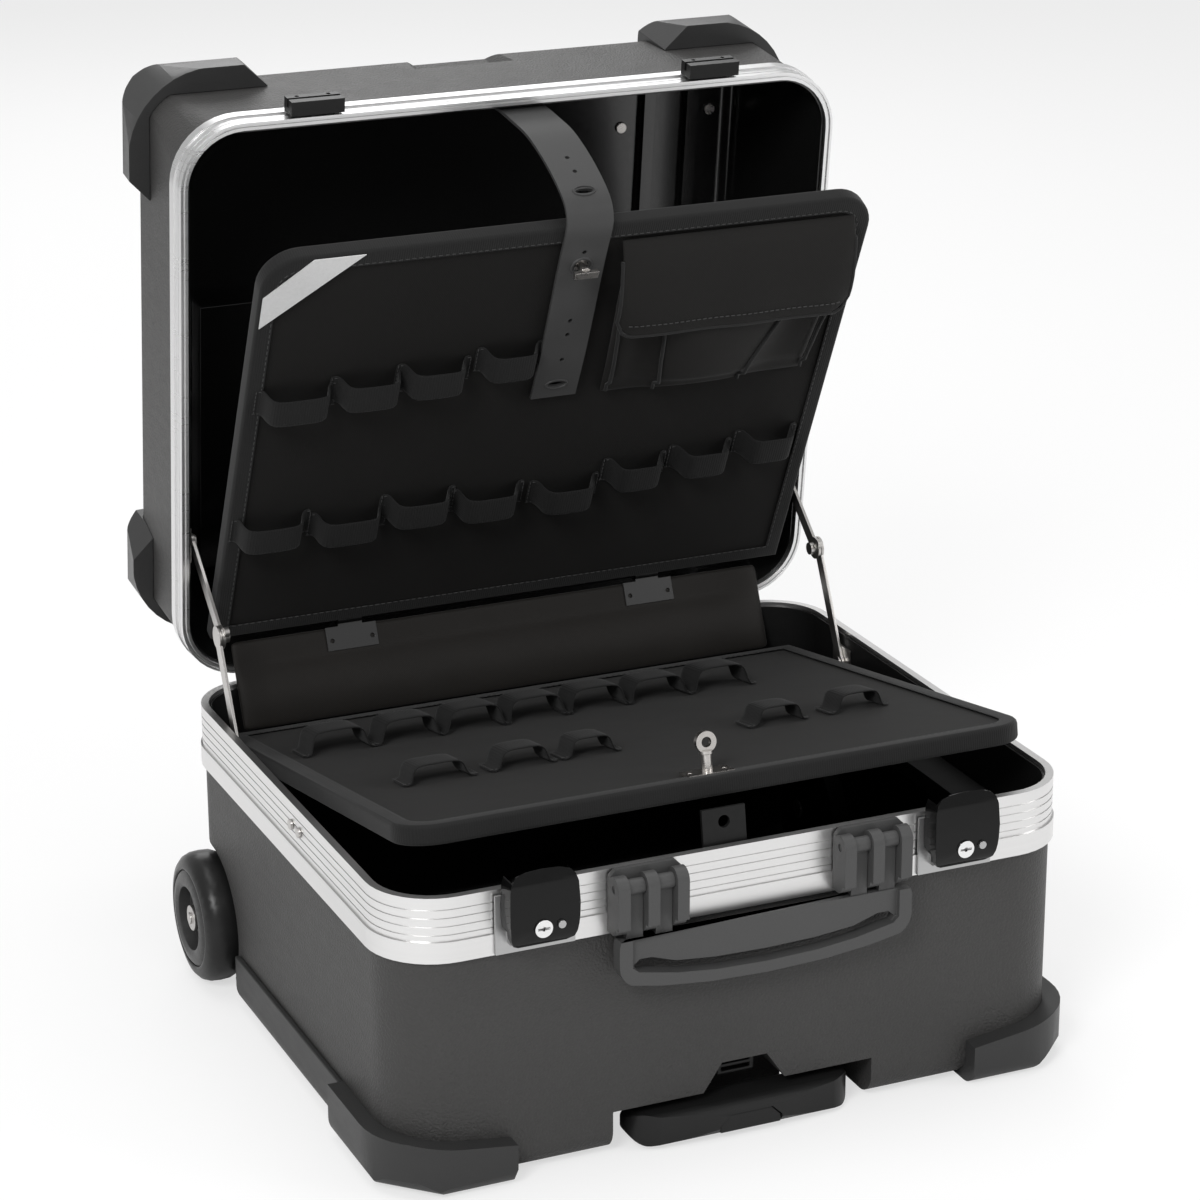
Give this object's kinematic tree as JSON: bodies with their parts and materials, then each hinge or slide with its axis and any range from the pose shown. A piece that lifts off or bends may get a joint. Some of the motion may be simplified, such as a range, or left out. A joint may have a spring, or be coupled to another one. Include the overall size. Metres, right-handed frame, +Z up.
{
  "type": "wheeled hard tool case",
  "caption": "Wheeled hard tool case lying on its back with the lid open, folding tool boards with elastic loops, front locks, carry handle and telescopic trolley handle.",
  "frame": {"origin": "middle of the case underside, 2 mm below the shell, on the ground; centred on the width and depth of the metal frame", "axes": "+X to the right seen from the front, -Y the front with locks and handles, +Z up"},
  "size_m": [0.5148, 0.5608, 0.6234],
  "materials": {
    "shell_plastic": "fine grained",
    "frame_metal": "satin with fine lines",
    "lining": "glossy",
    "divider": "matt",
    "bumper_plastic": "satin",
    "steel": "satin",
    "rail_metal": "satin",
    "grip_plastic": "satin",
    "handle_plastic": "grained",
    "plate_metal": "satin",
    "lock_plastic": "glossy",
    "key_metal": "polished",
    "tyre": "matt",
    "hub_plastic": "satin",
    "board_cloth": "woven",
    "rail_plastic": "matt",
    "elastic": "ribbed",
    "turn_metal": "polished",
    "strap_rubber": "matt"
  },
  "bodies": {
    "base": {"base_shell": "shell_plastic", "base_frame": "frame_metal", "base_liner": "lining", "base_dividers": "divider", "base_bumpers": "bumper_plastic", "side_runners": "bumper_plastic", "wheel_axles": "steel", "trolley_rails": "rail_metal", "trolley_latch": "grip_plastic", "handle_mounts": "handle_plastic", "pivot_pins": "steel", "lock_plates": "plate_metal", "hinge_base": "steel", "hinge_pins": "steel", "stay_feet": "steel", "board_rail": "rail_plastic", "front_strap": "strap_rubber"},
    "lid": {"lid_shell": "shell_plastic", "lid_frame": "frame_metal", "lid_liner": "lining", "lid_bumpers": "bumper_plastic", "lid_catches": "lock_plastic", "hinge_lid": "steel", "document_pocket": "lining", "lid_studs": "steel", "stay_heads": "steel"},
    "stay_lower_left_body": {"stay_lower_left": "steel"},
    "stay_lower_right_body": {"stay_lower_right": "steel"},
    "stay_upper_left_body": {"stay_upper_left": "steel"},
    "stay_upper_right_body": {"stay_upper_right": "steel"},
    "lock_left": {"lock_lever_left": "lock_plastic"},
    "lock_right": {"lock_lever_right": "lock_plastic"},
    "key_left": {"key_barrel_left": "key_metal"},
    "key_right": {"key_barrel_right": "key_metal"},
    "lock_button_left_body": {"lock_button_left": "plate_metal"},
    "lock_button_right_body": {"lock_button_right": "plate_metal"},
    "handle": {"carry_handle": "handle_plastic"},
    "trolley_stage": {"trolley_mid": "rail_metal"},
    "trolley_handle": {"trolley_grip": "grip_plastic"},
    "trolley_release": {"trolley_button": "grip_plastic"},
    "wheel_left": {"tyre_left": "tyre", "hub_left": "hub_plastic"},
    "wheel_right": {"tyre_right": "tyre", "hub_right": "hub_plastic"},
    "lower_tools": {"lower_board": "board_cloth", "lower_loops": "elastic", "lower_turn_plate": "turn_metal"},
    "lower_turn": {"lower_turn_knob": "turn_metal"},
    "middle_panel": {"spine": "board_cloth", "spine_hinges": "steel"},
    "upper_tools": {"upper_board": "board_cloth", "upper_loops": "elastic", "pouch": "board_cloth", "upper_turn_plate": "turn_metal", "lid_strap": "strap_rubber"},
    "upper_turn": {"upper_turn_knob": "turn_metal"},
    "flap": {"pouch_flap": "board_cloth"}
  },
  "joints": [
    {"name": "lid_hinge", "type": "hinge", "parent": "base", "child": "lid", "pos_m": [0, 0.205, 0.2], "axis": [-1, 0, 0], "range_deg": [-83, 0], "deforming": ["lid_strap"]},
    {"name": "stay_lower_left_joint", "type": "hinge", "parent": "base", "child": "stay_lower_left_body", "pos_m": [0, 0.114, 0.177], "axis": [-1, 0, 0], "range_deg": [-106.6, 0]},
    {"name": "stay_upper_left_joint", "type": "hinge", "parent": "lid", "child": "stay_upper_left_body", "pos_m": [0, 0.21044, 0.30343], "axis": [-1, 0, 0], "range_deg": [0, 104.2]},
    {"name": "stay_lower_right_joint", "type": "hinge", "parent": "base", "child": "stay_lower_right_body", "pos_m": [0, 0.114, 0.177], "axis": [-1, 0, 0], "range_deg": [-106.6, 0]},
    {"name": "stay_upper_right_joint", "type": "hinge", "parent": "lid", "child": "stay_upper_right_body", "pos_m": [0, 0.21044, 0.30343], "axis": [-1, 0, 0], "range_deg": [0, 104.2]},
    {"name": "panel_hinge", "type": "hinge", "parent": "base", "child": "middle_panel", "pos_m": [0, 0.178, 0.164], "axis": [-1, 0, 0], "range_deg": [-23.1, 0]},
    {"name": "upper_board_hinge", "type": "hinge", "parent": "middle_panel", "child": "upper_tools", "pos_m": [0, 0.20691, 0.23212], "axis": [-1, 0, 0], "range_deg": [-31.1, 0]},
    {"name": "lower_board_hinge", "type": "hinge", "parent": "base", "child": "lower_tools", "pos_m": [0, 0.178, 0.164], "axis": [-1, 0, 0], "range_deg": [-10.5, 30]},
    {"name": "lock_left_pivot", "type": "hinge", "parent": "base", "child": "lock_left", "pos_m": [-0.146, -0.209, 0.1685], "axis": [1, 0, 0], "range_deg": [0, 60]},
    {"name": "key_left_turn", "type": "hinge", "parent": "lock_left", "child": "key_left", "pos_m": [-0.1475, -0.2175, 0.178], "axis": [0, 1, 0], "range_deg": [-90, 90]},
    {"name": "lock_button_left_press", "type": "slide", "parent": "lock_left", "child": "lock_button_left_body", "axis": [0, 1, 0], "range_m": [0, 0.0014], "stiffness_N_per_m": 300, "springref_m": -0.001},
    {"name": "lock_right_pivot", "type": "hinge", "parent": "base", "child": "lock_right", "pos_m": [0.146, -0.209, 0.1685], "axis": [1, 0, 0], "range_deg": [0, 60]},
    {"name": "key_right_turn", "type": "hinge", "parent": "lock_right", "child": "key_right", "pos_m": [0.1445, -0.2175, 0.178], "axis": [0, 1, 0], "range_deg": [-90, 90]},
    {"name": "lock_button_right_press", "type": "slide", "parent": "lock_right", "child": "lock_button_right_body", "axis": [0, 1, 0], "range_m": [0, 0.0014], "stiffness_N_per_m": 300, "springref_m": -0.001},
    {"name": "carry_handle_pivot", "type": "hinge", "parent": "base", "child": "handle", "pos_m": [0.007, -0.212, 0.1905], "axis": [-1, 0, 0], "range_deg": [0, 95]},
    {"name": "trolley_stage_slide", "type": "slide", "parent": "base", "child": "trolley_stage", "axis": [0, -1, 0], "range_m": [0, 0.25]},
    {"name": "trolley_handle_slide", "type": "slide", "parent": "trolley_stage", "child": "trolley_handle", "axis": [0, -1, 0], "range_m": [0, 0.25]},
    {"name": "trolley_button_press", "type": "slide", "parent": "trolley_handle", "child": "trolley_release", "axis": [0, 1, 0], "range_m": [0, 0.0025], "stiffness_N_per_m": 600, "springref_m": -0.001},
    {"name": "wheel_left_spin", "type": "hinge", "parent": "base", "child": "wheel_left", "pos_m": [-0.24, 0.1585, 0.046], "axis": [1, 0, 0], "continuous": true},
    {"name": "wheel_right_spin", "type": "hinge", "parent": "base", "child": "wheel_right", "pos_m": [0.24, 0.1585, 0.046], "axis": [1, 0, 0], "continuous": true},
    {"name": "lower_turn", "type": "hinge", "parent": "lower_tools", "child": "lower_turn", "pos_m": [-0.008, -0.15452, 0.25207], "axis": [0, 0.1822, 0.9833], "range_deg": [-90, 90]},
    {"name": "upper_turn", "type": "hinge", "parent": "upper_tools", "child": "upper_turn", "pos_m": [0.004, 0.05901, 0.50503], "axis": [0, -0.9026, -0.4305], "range_deg": [-90, 90]},
    {"name": "pouch_flap_hinge", "type": "hinge", "parent": "upper_tools", "child": "flap", "pos_m": [0.118, 0.05769, 0.52545], "axis": [-1, 0, 0], "range_deg": [0, 100]}
  ],
  "couplings": [
    {"joint": "stay_lower_left_joint", "follows": "lid_hinge", "ratio": 1.2826},
    {"joint": "stay_upper_left_joint", "follows": "lid_hinge", "ratio": -1.2536},
    {"joint": "stay_lower_right_joint", "follows": "lid_hinge", "ratio": 1.2826},
    {"joint": "stay_upper_right_joint", "follows": "lid_hinge", "ratio": -1.2536},
    {"joint": "panel_hinge", "follows": "lid_hinge", "ratio": 0.27711},
    {"joint": "upper_board_hinge", "follows": "lid_hinge", "ratio": 0.37349}
  ]
}
